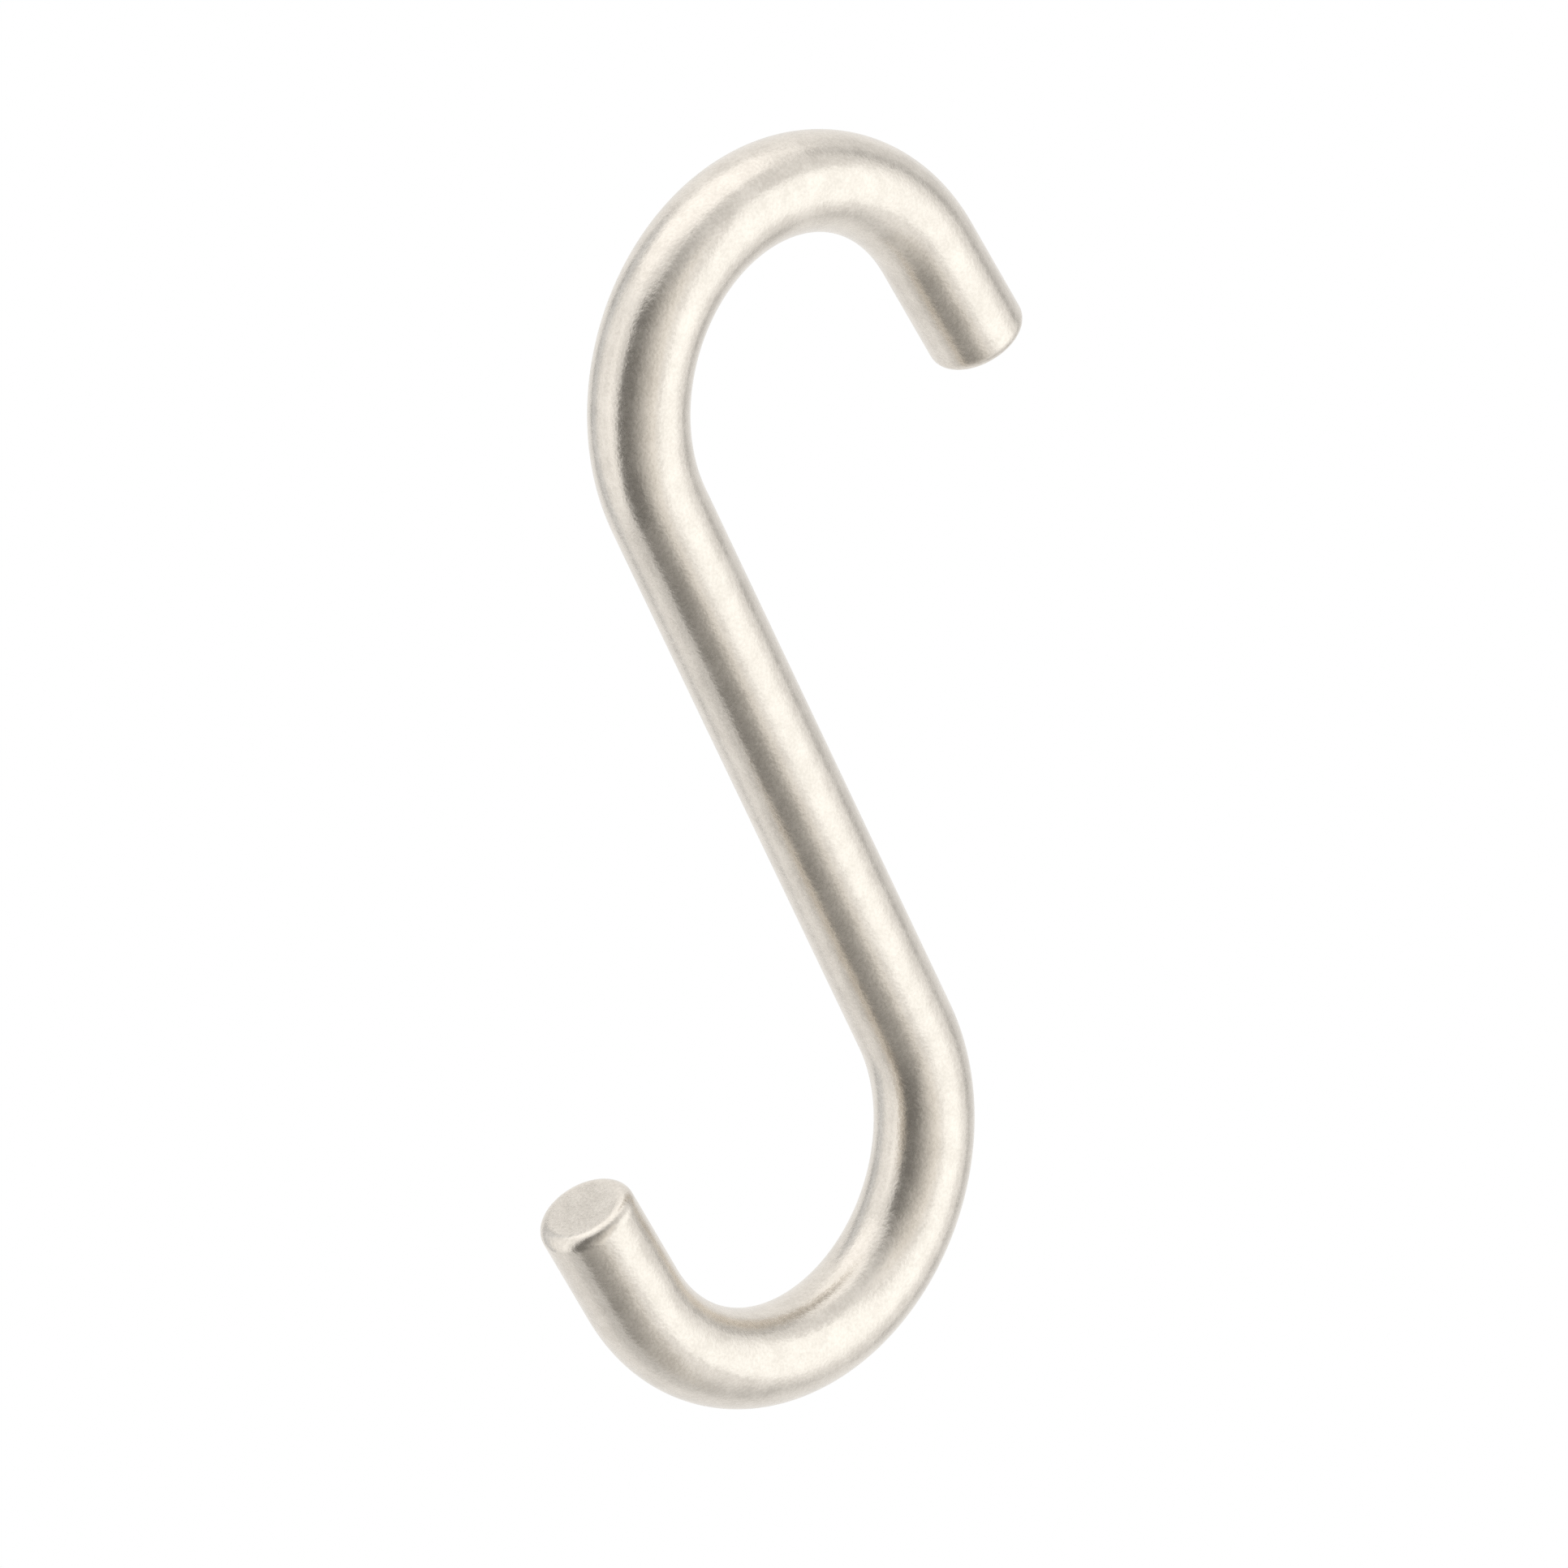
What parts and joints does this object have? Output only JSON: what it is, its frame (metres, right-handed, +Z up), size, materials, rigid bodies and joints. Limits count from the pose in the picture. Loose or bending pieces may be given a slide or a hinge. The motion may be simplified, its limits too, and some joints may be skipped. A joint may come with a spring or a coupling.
{
  "type": "s hook",
  "caption": "S hook bent from round steel rod: the upper bend hangs over a rail or rod, and the lower bend opens the other way to carry what is hung on it.",
  "frame": {"origin": "inner crown of the upper bend, where the top of the rail touches", "axes": "+Z up the load line, from the middle of the lower bend to the middle of the upper bend, as the hook hangs when loaded; the S lies in the XZ plane and reads as the letter from -Y; +X towards the open side of the upper hook, -X towards the open side of the lower hook; Y through the rod's thickness"},
  "size_m": [0.0325, 0.006, 0.0767],
  "materials": {
    "satin_nickel": "satin nickel plating over mild steel rod, fine even grain, warm grey"
  },
  "bodies": {
    "root": {"s_hook": "satin_nickel"}
  },
  "joints": []
}
